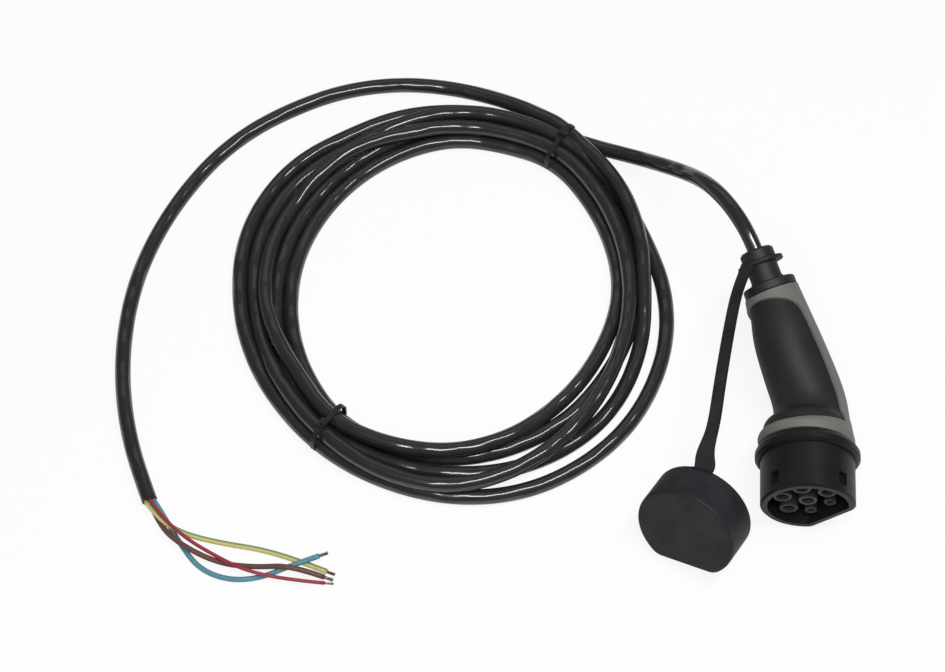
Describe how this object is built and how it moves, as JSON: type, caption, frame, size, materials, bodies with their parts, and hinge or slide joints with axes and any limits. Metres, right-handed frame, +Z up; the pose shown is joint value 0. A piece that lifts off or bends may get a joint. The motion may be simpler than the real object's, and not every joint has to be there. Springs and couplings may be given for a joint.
{
  "type": "ev charging cable",
  "caption": "Charging cable with a hand-held round plug, a tethered dust cap, a tied coil of black cable and an open end with bare core tips.",
  "frame": {"origin": "on the table under the middle of the connector and its dust cap", "axes": "+Z up; the plug's nose points to -Y; the coil lies to -X"},
  "size_m": [0.4687, 0.3789, 0.0733],
  "materials": {
    "black_polyamide": "satin injection moulding",
    "dark_polyamide": "satin injection moulding",
    "grey_polyamide": "fine matt injection moulding",
    "soft_grip": "fine grained soft moulding",
    "cap_rubber": "matt moulded rubber",
    "seal_rubber": "moulded rubber",
    "silvered_brass": "turned and silver plated",
    "zinc_steel": "zinc plated",
    "cable_jacket": "glossy extruded jacket",
    "tie_nylon": "moulded nylon",
    "core_blue": "extruded insulation",
    "core_green_yellow": "extruded two colour insulation",
    "core_brown": "extruded insulation",
    "core_red": "extruded insulation",
    "tinned_copper": "tinned strand end"
  },
  "bodies": {
    "connector": {"nose_shroud": "black_polyamide", "contact_carrier": "dark_polyamide", "contact_pe": "silvered_brass", "contact_l1": "silvered_brass", "contact_n": "silvered_brass", "contact_l2": "silvered_brass", "contact_l3": "silvered_brass", "contact_cp": "silvered_brass", "contact_pp": "silvered_brass", "contact_tube_pe": "dark_polyamide", "contact_tube_l1": "dark_polyamide", "contact_tube_n": "dark_polyamide", "contact_tube_l2": "dark_polyamide", "contact_tube_l3": "dark_polyamide", "contact_tube_cp": "dark_polyamide", "contact_tube_pp": "dark_polyamide", "nose_gasket": "seal_rubber", "handle_frame": "grey_polyamide", "handle_grip": "soft_grip", "cable_gland": "black_polyamide", "gland_seal": "seal_rubber", "clamp_saddle": "dark_polyamide", "clamp_bridge": "dark_polyamide", "clamp_screw_1": "zinc_steel", "clamp_screw_2": "zinc_steel", "cable_inner": "cable_jacket", "inner_core_pe": "core_green_yellow", "inner_core_l1": "core_brown", "inner_core_n": "core_blue", "inner_core_cp": "core_red", "cable_lead": "cable_jacket", "cable_coil": "cable_jacket", "cable_tail": "cable_jacket", "tie_upper": "tie_nylon", "tie_lower": "tie_nylon", "core_blue": "core_blue", "core_earth": "core_green_yellow", "core_brown": "core_brown", "core_pilot": "core_red", "core_end_blue": "tinned_copper", "core_end_earth": "tinned_copper", "core_end_brown": "tinned_copper", "core_end_pilot": "tinned_copper"},
    "cap": {"dust_cap": "cap_rubber"}
  },
  "joints": [
    {"name": "cap_ring_turn", "type": "hinge", "parent": "connector", "child": "cap", "pos_m": [0.01272, 0.09186, 0.05899], "axis": [-0.3387, 0.882, 0.3278], "continuous": true}
  ]
}
